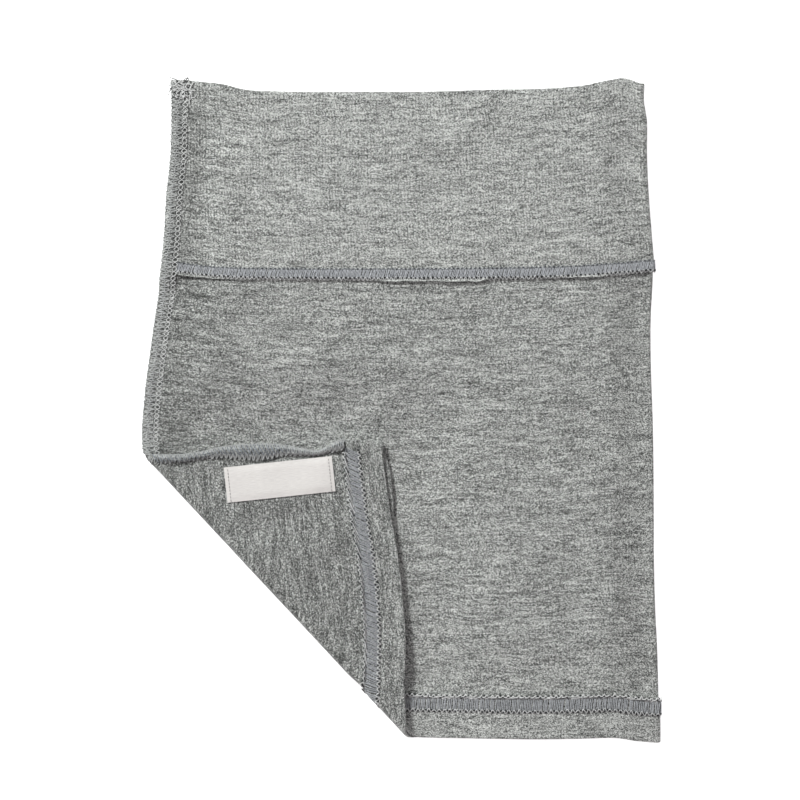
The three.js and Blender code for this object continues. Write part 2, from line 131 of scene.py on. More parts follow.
# Soft creases of the laid cloth: from x and y to x and y of the frame, half width and height, in millimetres
CREASES = [
    (82, 54, 108, 24, 3.2, 1.5), (90, 66, 114, 40, 7, -1.3), (98, 40, 106, -20, 7, -1),
    (104, -50, 109, -120, 7, -0.9), (-95, 20, -101, -5, 6, 0.6), (-92, 45, -60, 58, 7, 0.5),
    (-79, -60, -32, -41, 5, -1.1), (-72, -74, -28, -58, 6, 1.1), (-58, -84, -36, -66, 4, 0.7),
    (-44, -98, -26, -72, 3.5, 0.5), (-89, 138, -91, 74, 4.5, -1.2), (-84, 140, -86, 80, 4, 0.6),
    (20, -108, 70, -102, 5, 0.5), (40, -122, 100, -112, 5, -0.5), (30, -76, 90, -84, 6, 0.45),
    (10, 30, 60, 36, 6, 0.4), (-20, 128, 40, 122, 7, 0.4), (-98, 150, -104, 66, 6, 1.1),
    (-103, 76, -109, -14, 6, 1.1), (2, -40, 6, -130, 13, 1.3),
]
RIPPLE_COUNT = 14
RIPPLE_HEIGHT = 0.1
RIPPLE_LENGTHS = (18, 60)
RIPPLE_SHARES = (0.5, 1)
RELIEF_FROM = 2.2

# The cloth's lowest layers ride on the stitches under them
THREAD_ROOM = 0.95
SETTLED_TO = 1.7

# Fineness of the meshes: the cloth's cells in millimetres, steps round a bend and a fold, cuts along the crease
GRID = 1.75
BEND_STEPS = 6
FOLD_STEPS = 8
CREASE_CUTS = 17
CUT_SNAP = 0.01
SHARP_EDGE = math.radians(50)
PLY_SLIT = 0.12

# Units to a millimetre in the pattern layer, which says where each corner lies on the cut cloth
PATTERN_SCALE = 0.01


def smooth(share):
    x = np.clip(share, 0, 1)
    return x * x * (3 - 2 * x)


def mix(a, b, share):
    return a + (b - a) * share


def floats(*values):
    return np.broadcast_arrays(*[np.asarray(value, float) for value in values])


def cubic(x, start, end, start_slope, end_slope):
    """A smooth way from start to end, at share x of it."""
    return ((2 * x**3 - 3 * x**2 + 1) * start + (x**3 - 2 * x**2 + x) * start_slope
            + (3 * x**2 - 2 * x**3) * end + (x**3 - x**2) * end_slope)


def follow(table, column, at):
    """A smooth curve through one column of a table whose first column is the place."""
    place, value = table[:, 0], table[:, column]
    i = np.clip(np.searchsorted(place, at), 1, len(place) - 1)
    before, start, after = np.maximum(i - 2, 0), i - 1, np.minimum(i + 1, len(place) - 1)
    span = place[i] - place[start]
    x = np.clip((at - place[start]) / span, 0, 1)
    start_slope = (value[i] - value[before]) / (place[i] - place[before])
    end_slope = (value[after] - value[start]) / (place[after] - place[start])
    return cubic(x, value[start], value[i], span * start_slope, span * end_slope)


def half_width(up):
    return 0.5 * mix(BAND_WIDTH, HEM_WIDTH, follow(SIDES, 1, up / LENGTH))


def middle(up):
    return HEM_WIDTH * follow(SIDES, 2, up / LENGTH)


def course(across, up):
    hem = LENGTH * follow(COURSES, 1, across)
    joint = JOINT + LENGTH * follow(COURSES, 2, across)
    top = LENGTH + LENGTH * follow(COURSES, 3, across)
    below = mix(hem, joint, up / JOINT)
    above = mix(joint, top, (up - JOINT) / BAND_DEPTH)
    return np.where(up < JOINT, below, above) - 0.5 * LENGTH


def slip(across, up):
    return HEM_SLIP * follow(COURSES, 4, across) * smooth(1 - up / SLIP_REACH)


def doubled_at_hem(up):
    return smooth((HEM_TOP + JOINT_SLOPE - up) / JOINT_SLOPE)


def doubled_at_band(up):
    return smooth((up - JOINT + JOIN_GAP + ALLOWANCE_DEPTH + JOINT_SLOPE) / JOINT_SLOPE)


def back_inside(up):
    lifted = PLY + PLY * doubled_at_hem(up) + ALLOWANCE_LIFT * doubled_at_band(up)
    return np.where((up <= HEM_TOP) | (up >= JOINT), DOUBLE_PLY, lifted)


def doubled(up):
    return np.maximum(doubled_at_hem(up), doubled_at_band(up))


def pressed_stack(up):
    return DOUBLE_PLY + PRESSED_GAP + DOUBLE_PLY * doubled(up)


def plain_line(up):
    return middle(up) - half_width(up) - PLY * doubled(up) - CLEARANCE


def plain_side(up):
    return np.stack([plain_line(up) - SERGE_WIDTH, course(0.0, up)], -1)


def seam_reach(up):
    rolled = SERGE_WIDTH * follow(ROLLED_SEAM, 1, up / FOLD_UP_SEAM)
    short = np.clip(1 - up / CORNER_ROUND, 0, 1)
    hem = HEM_REACH - CORNER_ROUND * (1 - np.sqrt(1 - short**2))
    return np.where(up <= HEM_TOP, hem, rolled)


def seam_line(up):
    return plain_line(up) - seam_reach(up)


def allowance_width(up):
    return SERGE_WIDTH * follow(ROLLED_SEAM, 2, up / FOLD_UP_SEAM)


def seam_side(up):
    width = np.where(up <= HEM_TOP, 0.0, allowance_width(up))
    return np.stack([seam_line(up) - width, course(0.0, up)], -1)


def hem_side(across):
    x = mix(middle(0.0) - half_width(0.0) - HEM_REACH, middle(0.0) + half_width(0.0), across)
    return np.stack([x, course(across, 0.0)], -1)


CREASE_ACROSS = (FOLD_ALONG_HEM + HEM_REACH) / (HEM_WIDTH + HEM_REACH)
CREASE_START = plain_side(FOLD_UP_SEAM)
CREASE_END = hem_side(CREASE_ACROSS)
CREASE_RUN = (CREASE_END - CREASE_START) / np.linalg.norm(CREASE_END - CREASE_START)
TURNED_SIDE = np.array([CREASE_RUN[1], -CREASE_RUN[0]])


def past_crease(x, y):
    return (x - CREASE_START[0]) * TURNED_SIDE[0] + (y - CREASE_START[1]) * TURNED_SIDE[1]


def flap_reach():
    """How far the turned-up corner reaches over the front."""
    share = np.linspace(0, 1, 61)
    edges = np.concatenate([seam_side(share * FOLD_UP_SEAM), hem_side(share * CREASE_ACROSS)])
    landed = edges - 2 * past_crease(edges[:, 0], edges[:, 1])[:, None] * TURNED_SIDE
    return landed[:, 0].max() + HEM_SLIP + FLAP_MARGIN, landed[:, 1].max() + FLAP_MARGIN


FLAP_X, FLAP_Y = flap_reach()


def openness(x, y, from_left, from_right):
    beside, above = np.maximum(x - FLAP_X, 0), np.maximum(y - FLAP_Y, 0)
    clear_of_flap = smooth(np.hypot(beside, above) / FLAP_SLOPE)
    return clear_of_flap * smooth(from_left / LEFT_SLOPE) * smooth(from_right / RIGHT_SLOPE)


def edge_gap(across):
    return mix(PRESSED_GAP, RIGHT_EDGE_GAP, smooth(2 * across - 1))


def tube_sides(up):
    left = middle(up) - half_width(up) + PLY + 0.5 * edge_gap(0.0) - seam_reach(up)
    right = middle(up) + half_width(up) - PLY - 0.5 * edge_gap(1.0)
    return left, right


def tube_point(around, up, out):
    """A point of the flat tube: place around it, length up it, and distance out from its inner face."""
    around, up, out = floats(around, up, out)
    left, right = tube_sides(up)
    inside = back_inside(up)
    front = np.clip(around, 0, 1)
    fx = mix(left, right, front)
    fy = course(front, up)
    open_share = openness(fx, fy, fx - left, right - fx)
    fz = mix(inside + edge_gap(front), LOFT_HEIGHT, open_share) + out
    right_gap, left_gap = edge_gap(1.0), edge_gap(0.0)
    turn = math.pi * np.clip(around - RIGHT_EDGE, 0, 1)
    right_radius = 0.5 * right_gap + out
    across = np.clip(SEAM_EDGE - around, 0, 1)
    turn_left = math.pi * np.clip(around - SEAM_EDGE, 0, 1)
    left_radius = 0.5 * left_gap + out
    where = [around <= RIGHT_EDGE, around < BACK_START, around <= SEAM_EDGE]
    x = np.select(where, [fx, right + right_radius * np.sin(turn), mix(left, right, across)],
                  left - left_radius * np.sin(turn_left))
    y = np.select(where, [fy - slip(front, up), course(1.0, up), course(across, up)],
                  course(0.0, up) - slip(0.0, up) * (around - SEAM_EDGE))
    z = np.select(where, [fz, inside + 0.5 * right_gap + right_radius * np.cos(turn), inside - out],
                  inside + 0.5 * left_gap - left_radius * np.cos(turn_left))
    return np.stack([x, y, z, up], -1)


def crease_height(x, y):
    along = (x - CREASE_START[0]) * CREASE_RUN[0] + (y - CREASE_START[1]) * CREASE_RUN[1]
    line_y = CREASE_START[1] + along * CREASE_RUN[1]
    at_hem = smooth((CREASE_END[1] + HEM_DEPTH + 2 * JOINT_SLOPE - line_y) / (2 * JOINT_SLOPE))
    return CREASE_RADIUS + CREASE_RISE * DOUBLE_PLY * at_hem


def fold(points):
    """Carries points (x, y, z, up) round the crease: flat before it, half a turn, then upside down over the front."""
    x, y, z, up = np.moveaxis(points, -1, 0)
    past, height = past_crease(x, y), crease_height(x, y)
    turn = 0.5 * math.pi * (np.clip(past / height, -1, 1) + 1)
    radius = height - z
    shift = np.where(past < height, -height + radius * np.sin(turn) - past, -2 * past)
    fx, fy = x + shift * TURNED_SIDE[0], y + shift * TURNED_SIDE[1]
    underneath = pressed_stack(np.maximum(fy - CREASE_END[1], 0))
    spare = np.maximum(2 * height - pressed_stack(up) - underneath - FLAP_CLEARANCE, 0)
    held = HEM_HOLD * smooth(1 - up / HEM_HOLD_RUN)
    settled = smooth((past - height) / SETTLE_RUN) * (1 - held)
    rolled = height - radius * np.cos(turn)
    flat = past <= -height
    fz = np.where(flat, z, np.where(past < height, rolled, 2 * height - z - spare * settled))
    return np.stack([np.where(flat, x, fx), np.where(flat, y, fy), fz], -1)


RIPPLES = [(rng.uniform(0, 2 * math.pi), rng.uniform(*RIPPLE_LENGTHS), rng.uniform(0, 2 * math.pi),
            rng.uniform(*RIPPLE_SHARES)) for _ in range(RIPPLE_COUNT)]


def relief(x, y):
    """Height of the laid cloth's soft creases and ripples over a place of the frame."""
    height = np.zeros_like(x)
    for from_x, from_y, to_x, to_y, width, rise in CREASES:
        run_x, run_y = to_x - from_x, to_y - from_y
        near = np.clip(((x - from_x) * run_x + (y - from_y) * run_y) / (run_x**2 + run_y**2), 0, 1)
        off = np.hypot(x - from_x - near * run_x, y - from_y - near * run_y)
        height += rise * np.exp(-(off / width) ** 2) * smooth(1 - np.abs(near - 0.5))
    for heading, length, phase, share in RIPPLES:
        along = x * math.cos(heading) + y * math.sin(heading)
        height += RIPPLE_HEIGHT * share * np.sin(2 * math.pi * along / length + phase)
    return height


def lay(points):
    """Folds flat points (x, y, z, up), lays them in the frame's place with the cloth's relief, in millimetres."""
    placed = fold(points) + ORIGIN
    z = placed[..., 2]
    z += relief(placed[..., 0], placed[..., 1]) * smooth(z / RELIEF_FROM)
    placed[..., 2] = np.where(z < SETTLED_TO, SETTLED_TO * (z + THREAD_ROOM) / (SETTLED_TO + THREAD_ROOM), z)
    return placed


def cloth_across(around, up, out):
    """Millimetres along the courses of the knit, from the right edge, where the panel has no seam."""
    left, right = tube_sides(up)
    width = right - left
    bend = math.pi * (0.5 * edge_gap(1.0) + out)
    return np.select(
        [around <= RIGHT_EDGE, around <= BACK_START, around <= SEAM_EDGE],
        [(around - 1) * width, (around - 1) * bend, bend + (around - 2) * width],
        bend + width + (around - SEAM_EDGE) * bend)


# Making meshes

def new_object(name, data):
    obj = bpy.data.objects.new(name, data)
    bpy.context.scene.collection.objects.link(obj)
    return obj


def lattice(cells, sides, columns=None):
    """Corners (i, j) of the cells of a lattice that closes on itself over its sides, and the faces they make."""
    i, j = np.meshgrid(np.arange(cells), np.arange(sides), indexing="ij")
    corners = [(i, j), (i, j + 1), (i + 1, j + 1), (i + 1, j)]
    faces = np.stack([a % (columns or cells + 1) * sides + b % sides for a, b in corners], -1)
    return corners, faces.reshape(-1, 4)


def at_corners(corners, measures):
    """A pair of measures for each corner of each face."""
    return np.stack([np.stack(measures(i, j), -1) for i, j in corners], -2).reshape(-1, 2)


def swept(name, profile, last=FULL_TURN, shape=None):
    """A closed profile of (up, out) points swept round the tube, all round or as far as its last place."""
    around, profile, closed = ring_places(last), np.array(profile), last == FULL_TURN
    rows, columns = len(profile), len(around)
    up, out = profile[:, 0], profile[:, 1]
    laid = shape(around[:, None], up[None], out[None]) if shape else (up[None], out[None])
    points = tube_point(around[:, None], *laid)
    steps = np.hypot(np.diff(up, append=up[0]), np.diff(out, append=out[0]))
    along = np.concatenate([[0], np.cumsum(steps)])
    places = np.append(around, FULL_TURN) if closed else around
    across = cloth_across(places[:, None], np.append(up, up[0])[None], np.append(out, out[0])[None])
    corners, faces = lattice(len(places) - 1, rows, columns)
    coordinates = at_corners(corners, lambda i, j: (across[i, j], along[j]))
    caps = []
    for start in () if closed else (0, (columns - 1) * rows):
        caps += [[start + j, start + j + 1, start + rows - 2 - j, start + rows - 1 - j] for j in range(rows // 2 - 1)]
    return folded_mesh(name, points.reshape(-1, 4), faces.tolist() + caps, coordinates)


def pattern_mesh(name, points, faces, coordinates=np.zeros((0, 2))):
    """A mesh with its pattern layer, which is left at 0 for the last faces if they have no coordinates."""
    mesh = bpy.data.meshes.new(name)
    mesh.from_pydata(points, [], faces)
    pattern = mesh.uv_layers.new(name="pattern")
    places = np.zeros((len(mesh.loops), 2))
    places[:len(coordinates)] = coordinates
    pattern.data.foreach_set("uv", (places * PATTERN_SCALE).ravel())
    return mesh


def outward(mesh, cuts=()):
    """Turns a mesh's faces outward, after cutting it at distances from the crease."""
    bm = bmesh.new()
    bm.from_mesh(mesh)
    for offset in cuts:
        place = Vector((*(CREASE_START + offset * TURNED_SIDE), 0))
        whole = bm.verts[:] + bm.edges[:] + bm.faces[:]
        bmesh.ops.bisect_plane(bm, geom=whole, dist=CUT_SNAP, plane_co=place, plane_no=Vector((*TURNED_SIDE, 0)))
    bmesh.ops.recalc_face_normals(bm, faces=bm.faces)
    bm.to_mesh(mesh)
    bm.free()


def folded_mesh(name, points, faces, coordinates):
    """Flat points (x, y, z, up) and their faces, cut along the crease and then laid."""
    mesh = pattern_mesh(name, points[:, :3], faces, coordinates)
    level = mesh.attributes.new("level", "FLOAT", "POINT")
    level.data.foreach_set("value", points[:, 3])
    reach = CREASE_RADIUS + CREASE_RISE * DOUBLE_PLY
    outward(mesh, np.append(np.linspace(-reach, reach, CREASE_CUTS), reach + SETTLE_RUN / 2))
    count = len(mesh.vertices)
    flat = np.empty(count * 3)
    mesh.vertices.foreach_get("co", flat)
    level = np.empty(count)
    mesh.attributes["level"].data.foreach_get("value", level)
    placed = lay(np.concatenate([flat.reshape(-1, 3), level[:, None]], 1)) * MM
    mesh.vertices.foreach_set("co", placed.ravel())
    mesh.attributes.remove(mesh.attributes["level"])
    mesh.shade_smooth()
    mesh.set_sharp_from_angle(angle=SHARP_EDGE)
    mesh.update()
    return new_object(name, mesh)


def spread(start, end, step):
    return np.linspace(start, end, max(2, 1 + math.ceil(abs(end - start) / step)))


def ring_places(last):
    across = np.linspace(0, 1, 1 + math.ceil(BAND_WIDTH / GRID))
    bend = np.linspace(0, 1, 1 + BEND_STEPS)
    places = np.concatenate([across, 1 + bend[1:], 2 + across[1:], 3 + bend[1:-1]])
    return places[places <= last]


def flat_profile(low, high, outer, inner, step=GRID):
    up = spread(low, high, step)
    return [(u, outer) for u in up] + [(u, inner) for u in up[::-1]]


def doubled_profile(open_edge, folded_edge):
    """Two plies of jersey joined by a round fold at one edge, with a slit between them."""
    sign = 1 if folded_edge > open_edge else -1
    bend = folded_edge - sign * PLY
    up = spread(open_edge, bend, GRID)
    few = spread(open_edge, bend, 6 * GRID)
    turn = np.linspace(0, math.pi, 1 + FOLD_STEPS)[1:-1]
    outer = [(bend + sign * PLY * math.sin(a), PLY + PLY * math.cos(a)) for a in turn]
    inner = [(bend + sign * PLY_SLIT * math.sin(a), PLY - PLY_SLIT * math.cos(a)) for a in turn[::3]]
    return ([(u, DOUBLE_PLY) for u in up] + outer + [(u, 0.0) for u in up[::-1]]
            + [(u, PLY - PLY_SLIT) for u in few] + inner + [(u, PLY + PLY_SLIT) for u in few[::-1]])


def tube(paths, radii, sides):
    """Points, faces and pattern coordinates of round threads along paths, each an array of points."""
    points, faces, caps, coordinates = [], [], [], []
    count = 0
    ring = np.arange(sides) * 2 * math.pi / sides
    for path, radius in zip(paths, radii):
        tangent = np.gradient(path, axis=0)
        tangent /= np.maximum(np.linalg.norm(tangent, axis=1), 1e-9)[:, None]
        side = np.empty_like(path)
        current = np.cross(tangent[0], (0.13, 0.21, 1.0))
        for i, t in enumerate(tangent):
            current = current - (current @ t) * t
            current = current / max(np.linalg.norm(current), 1e-9)
            side[i] = current
        other = np.cross(tangent, side)
        offset = side[:, None] * np.cos(ring)[None, :, None] + other[:, None] * np.sin(ring)[None, :, None]
        points.append((path[:, None] + offset * radius).reshape(-1, 3))
        length = np.concatenate([[0], np.cumsum(np.linalg.norm(np.diff(path, axis=0), axis=1))])
        corners, quads = lattice(len(path) - 1, sides)
        coordinates.append(at_corners(corners, lambda i, j: (j / sides, length[i])))
        faces += (quads + count).tolist()
        last = count + len(path) * sides
        caps += [[*range(count, count + sides)][::-1], [*range(last - sides, last)]]
        count = last
    return np.concatenate(points), faces + caps, np.concatenate(coordinates)


def joined_curve(knots, steps):
    """A smooth curve through knots, with the same number of steps between each two."""
    knots = np.asarray(knots, float)
    before = np.concatenate([knots[:1], knots[:-1]])[:-1]
    after = np.concatenate([knots[1:], knots[-1:]])[1:]
    a, b = knots[:-1], knots[1:]
    x = (np.arange(steps) / steps)[None, :, None]
    curve = cubic(x, a[:, None], b[:, None], 0.5 * (b - before)[:, None], 0.5 * (after - a)[:, None])
    return np.concatenate([curve.reshape(-1, knots.shape[1]), knots[-1:]])


def repeated(pattern, count):
    return np.tile(np.array(pattern, float), (count, 1)).reshape(count, -1, 3)


def joined_curves(rows, lay_points):
    """Short threads, each through its own row of knots, laid by a function of the knots' three measures."""
    curves = [joined_curve(row, 2) for row in rows]
    return np.split(lay_points(*np.concatenate(curves).T), len(curves))


# Materials

OPERATIONS = {"+": "ADD", "-": "SUBTRACT", "*": "MULTIPLY", "/": "DIVIDE", "*+": "MULTIPLY_ADD"}


class Tree:
    """A material's nodes, made one call at a time."""

    def __init__(self, name):
        self.material = bpy.data.materials.new(name)
        self.material.use_nodes = True
        self.tree = self.material.node_tree
        self.shader = self.tree.nodes["Principled BSDF"]

    def node(self, kind, settings=None, **inputs):
        made = self.tree.nodes.new(kind)
        for key, value in (settings or {}).items():
            setattr(made, key, value)
        self.feed(made, inputs)
        return made

    def feed(self, made, inputs):
        for key, value in inputs.items():
            numbered = key[0] == "i" and key[1:].isdigit()
            socket = made.inputs[int(key[1:]) if numbered else key.replace("_", " ")]
            if isinstance(value, bpy.types.NodeSocket):
                self.tree.links.new(value, socket)
            else:
                socket.default_value = value

    def math(self, operation, a, b=0.0, c=0.0):
        name = OPERATIONS.get(operation, operation)
        return self.node("ShaderNodeMath", {"operation": name}, i0=a, i1=b, i2=c).outputs[0]

    def pattern(self):
        """Place on the cut cloth, in millimetres."""
        uv = self.node("ShaderNodeUVMap", {"uv_map": "pattern"}).outputs[0]
        scaled = self.node("ShaderNodeVectorMath", {"operation": "SCALE"}, i0=uv, Scale=1 / PATTERN_SCALE)
        parts = self.node("ShaderNodeSeparateXYZ", i0=scaled.outputs[0])
        return parts.outputs[0], parts.outputs[1]

    def at(self, x, y, z=0.0):
        return self.node("ShaderNodeCombineXYZ", X=x, Y=y, Z=z).outputs[0]

    def noise(self, place, detail=2.0, roughness=0.5):
        made = self.node("ShaderNodeTexNoise", {"noise_dimensions": "3D"}, Vector=place, Scale=1.0, Detail=detail,
                         Roughness=roughness)
        return made.outputs[0]

    def ramp(self, share, stops):
        made = self.node("ShaderNodeValToRGB", Fac=share)
        ramp = made.color_ramp
        while len(ramp.elements) < len(stops):
            ramp.elements.new(0.5)
        for element, (place, color) in zip(ramp.elements, stops):
            element.position = place
            element.color = (*color, 1.0)
        return made.outputs[0]

    def finish(self, color, roughness, height=None, strength=0.5, distance=0.0003, **sockets):
        if height is not None:
            bump = self.node("ShaderNodeBump", Strength=strength, Distance=distance, Height=height)
            sockets["Normal"] = bump.outputs[0]
        self.feed(self.shader, {"Base Color": color, "Roughness": roughness, **sockets})
        return self.material


# The knit, in millimetres: its course and wale, a speck of fibre, and the longer patterns
COURSE = 0.62
WALE = 1.38
SPECK = 0.25
FIBRE_LENGTH = 0.5
FIBRE_TURN = math.radians(30)
WOBBLE = 5.0
WOBBLE_LENGTH = 26.0
STREAK_LENGTH = 11.0
MOTTLE_LENGTH = 22.0
MOTTLE_WIDTH = 4.0
BACK_FROM = 4.0
# How far from the side seam the painted shade on the front wall reaches
SEAM_SHADE_REACH = 40.0

# Noise cells between one course's streaks and the next one's
STREAK_STEP = 3.7

# How far each pattern moves the tone, and the colours from a tone of 0 to 1
SPECK_TONE = 1.48
STREAK_TONE = 1.12
MOTTLE_TONE = 0.5
BACK_SHADE = 0.15
# Painted shade on the front wall beside the side seam
SEAM_SHADE = 0.17
HEATHER_TONES = [(0.0, (0.047, 0.049, 0.047)), (0.25, (0.137, 0.142, 0.137)), (0.5, (0.275, 0.284, 0.274)),
                 (0.75, (0.458, 0.47, 0.455)), (1.0, (0.69, 0.706, 0.686))]

# Sewing thread: one twist of its plies in millimetres, and its fuzz in cells to a metre
PLY_TWIST = 0.9
FUZZ_SCALE = 700.0
RIB_PITCH = 0.42


def heather(name, shift, lift=0.0, wale=0.03, back=0.0, width=BAND_WIDTH, narrowing=0.0):
    """Reverse side of a mixed grey jersey: specks of light and dark fibre, streaks along the courses, faint wales,
    and painted shade on the front wall beside the side seam.

    lift and wale are shares of the tone. The front wall reaches from its right edge to the side seam by width at the
    piece's low edge, and by narrowing more with each millimetre up.
    """
    t = Tree(name)
    across, up = t.pattern()
    u = t.math("+", across, shift)
    wobble = t.noise(t.at(t.math("/", u, WOBBLE_LENGTH), t.math("/", up, WOBBLE_LENGTH)))
    v = t.math("*+", wobble, WOBBLE, up)
    stitch, row = t.math("/", u, WALE), t.math("/", v, COURSE)
    streak = t.noise(t.at(t.math("/", u, STREAK_LENGTH), t.math("*", t.math("FLOOR", row), STREAK_STEP), shift),
                     2.0, 0.55)
    speck = 0.0
    for turn in (FIBRE_TURN, -FIBRE_TURN):
        c, d = math.cos(turn), math.sin(turn)
        along = t.math("+", t.math("*", u, c / FIBRE_LENGTH), t.math("*", v, d / FIBRE_LENGTH))
        over = t.math("-", t.math("*", v, c / SPECK), t.math("*", u, d / SPECK))
        cell = t.node("ShaderNodeTexWhiteNoise", {"noise_dimensions": "2D"},
                      Vector=t.at(t.math("FLOOR", along), t.math("FLOOR", over))).outputs[0]
        speck = t.math("+", speck, t.math("*", cell, 0.5))
    mottle = t.noise(t.at(t.math("/", u, MOTTLE_LENGTH), t.math("/", v, MOTTLE_WIDTH), shift), 3.0, 0.6)
    bead = t.math("COSINE", t.math("*", stitch, 2 * math.pi))
    tone = 0.5 + lift - 0.5 * (SPECK_TONE + STREAK_TONE + MOTTLE_TONE)
    on_back = t.math("GREATER_THAN", across, BACK_FROM)
    for pattern, share in ((speck, SPECK_TONE), (streak, STREAK_TONE), (mottle, MOTTLE_TONE), (bead, wale),
                           (on_back, -back)):
        tone = t.math("*+", pattern, share, tone)
    # Painted shade: the front wall is darkened beside the side seam, fading out over SEAM_SHADE_REACH millimetres
    from_seam = t.math("+", t.math("*+", up, narrowing, width), across)
    painted_shade_share = t.math("MINIMUM", t.math("-", 1.0, t.math("/", from_seam, SEAM_SHADE_REACH)), 1.0)
    tone = t.math("*+", t.math("MAXIMUM", painted_shade_share, 0.0), -SEAM_SHADE, tone)
    wave, arch = [t.math("ABSOLUTE", t.math("SINE", t.math("*", at, math.pi))) for at in (stitch, row)]
    return t.finish(t.ramp(tone, HEATHER_TONES), 0.92, t.math("*", wave, arch), 0.4, 0.0003,
                    Sheen_Weight=0.12, Sheen_Roughness=0.55, Specular_IOR_Level=0.25)


def yarn(name, dark, light):
    """Sewing thread: two plies twisted together, a little hairy."""
    t = Tree(name)
    u, v = t.pattern()
    ply = t.math("SINE", t.math("*", t.math("+", t.math("*", u, 2.0),
                                                   t.math("/", v, PLY_TWIST)), 2 * math.pi))
    place = t.node("ShaderNodeTexCoord").outputs["Object"]
    patch = t.noise(t.node("ShaderNodeVectorMath", {"operation": "SCALE"}, i0=place, Scale=FUZZ_SCALE).outputs[0])
    color = t.ramp(t.math("*+", ply, 0.16, patch), [(0.2, dark), (0.8, light)])
    return t.finish(color, 0.75, ply, 0.5, 0.00008, Sheen_Weight=0.15, Specular_IOR_Level=0.35)


def satin(name):
    """Woven label: ivory satin with close ribs across it."""
    t = Tree(name)
    u, v = t.pattern()
    rib = t.math("SINE", t.math("*", v, 2 * math.pi / RIB_PITCH))
    thread = t.noise(t.at(t.math("/", u, 3.0), t.math("/", v, 0.25)), 3.0, 0.6)
    tone = t.math("*+", rib, 0.06, thread)
    color = t.ramp(tone, [(0.2, (0.6, 0.575, 0.56)), (0.8, (0.82, 0.8, 0.775))])
    return t.finish(color, 0.5, t.math("*+", thread, 0.6, rib), 0.25, 0.00008, Sheen_Weight=0.2,
                    Specular_IOR_Level=0.4)


# The cloth

# How much wider than its joint the band is where its top flares, in millimetres
BAND_FLARE = 6

HEATHER = heather("heather_jersey_body", 0.0, -0.02, back=BACK_SHADE, width=HEM_WIDTH,
                  narrowing=(BAND_WIDTH - HEM_WIDTH) / BODY_DEPTH)
HEATHER_BAND = heather("heather_jersey_band", 61.0, 0.05, wale=0.07, width=BAND_WIDTH + BAND_FLARE)
HEATHER_HEM = heather("heather_jersey_hem", 133.0, 0.03, back=BACK_SHADE)
HEATHER_STRIP = heather("heather_jersey_strip", 171.0, 0.1)
# The allowance's cloth is made darker: painted shade in the gaps between the overlock loops, partly the cut edge's
# own darker tone
HEATHER_EDGE = heather("heather_jersey_allowance", 211.0, -0.28)
LOOPER = yarn("looper_thread", (0.215, 0.226, 0.24), (0.52, 0.538, 0.56))
BAND_LOOPER = yarn("band_looper_thread", (0.29, 0.302, 0.325), (0.6, 0.618, 0.65))
OVERLOCK = yarn("overlock_thread", (0.245, 0.253, 0.253), (0.62, 0.634, 0.63))
ROPE = yarn("rope_thread", (0.06, 0.066, 0.076), (0.33, 0.35, 0.375))
NEEDLE = yarn("needle_thread", (0.52, 0.53, 0.525), (0.93, 0.94, 0.935))
# Near-black yarn that paints shade: in the needle holes and inside the frayed tuft
PAINTED_SHADE = yarn("painted_shade_yarn", (0.012, 0.012, 0.013), (0.03, 0.03, 0.032))
SATIN = satin("label_satin")
LABEL_THREAD = yarn("label_thread", (0.22, 0.215, 0.205), (0.42, 0.41, 0.395))


def ready(obj, material, replaced=None):
    obj.data.materials.append(material)
    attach(obj, "root")
    if replaced:
        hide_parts(replaced)
    return obj


def sewn(name, paths, radii, material, sides=5):
    """Threads along paths, as one piece of the sewing."""
    points, faces, coordinates = tube(paths, np.broadcast_to(radii, len(paths)), sides)
    mesh = pattern_mesh(name, points * MM, faces, coordinates)
    mesh.shade_smooth()
    return ready(new_object(name, mesh), material)


SEAM_LAP, JOINT_LAP = 0.3, 0.05
body = ready(swept("body_jersey", flat_profile(HEM_TOP - SEAM_LAP, JOINT - JOINT_LAP, PLY, 0.0)),
             HEATHER, "body")
band = ready(swept("band_jersey", doubled_profile(JOINT, LENGTH)), HEATHER_BAND, "band")
hem = ready(swept("hem_jersey", doubled_profile(HEM_TOP, 0.0)), HEATHER_HEM, "hem")

# The joining seam's allowance, over the body
UNDER = PLY + CLEARANCE
STRIP_TOP = JOINT + JOINT_LAP
STRIP_LOW = JOINT - JOIN_GAP - ALLOWANCE_DEPTH
STRIP_GRID = 0.45
STRIP_SINK = 0.15

# Its free edge, place from the seam edge and depth below the joint, and how far it curls up there, in millimetres
STRIP_EDGE = np.array([
    (0, 6.2), (13, 6.1), (90, 6), (135, 6.3), (141, 4.9), (165, 4.7), (172, 5.4), (190, 5.5), (197, 4.6), (212, 5.3),
    (221, 6), (223, 7.2), (226, 6.2), (440, 6.3),
])
STRIP_LIFT = np.array([
    (0, 0.9), (14, 0.8), (22, 0.1), (36, -0.6), (84, -0.8), (90, 0.4), (96, 1), (138, 1), (144, -0.5), (156, -0.7),
    (166, 0.6), (188, 1.1), (200, 1), (211, 0.7), (223, 1.2), (440, 0.5),
])
STRIP_CURL = 0.75
CURL_RUN = 1.9
EDGE_WAVE = 0.22
EDGE_NICK = 0.12
CURL_WAVE = 0.25


def free_edge(around, up, out):
    """The strip with its uneven edge, which curls up off the wall."""
    s = np.where(around <= RIGHT_EDGE, around, 1 + np.clip(around - BACK_START, 0, 1)) * BAND_WIDTH
    depth = np.interp(s, *STRIP_EDGE.T)
    depth = depth + EDGE_WAVE * np.sin(s / 2.9) * np.sin(s / 7.3 + 1) + EDGE_NICK * np.sin(s / 1.1)
    low = (up - STRIP_TOP) / (STRIP_LOW - STRIP_TOP)
    curl = STRIP_CURL * np.interp(s, *STRIP_LIFT.T) * (1 + CURL_WAVE * np.sin(s / 3.1))
    front = smooth((RIGHT_EDGE - around) * 8)
    return STRIP_TOP - low * depth, out + curl * front * smooth(1 - (1 - low) * depth / CURL_RUN)


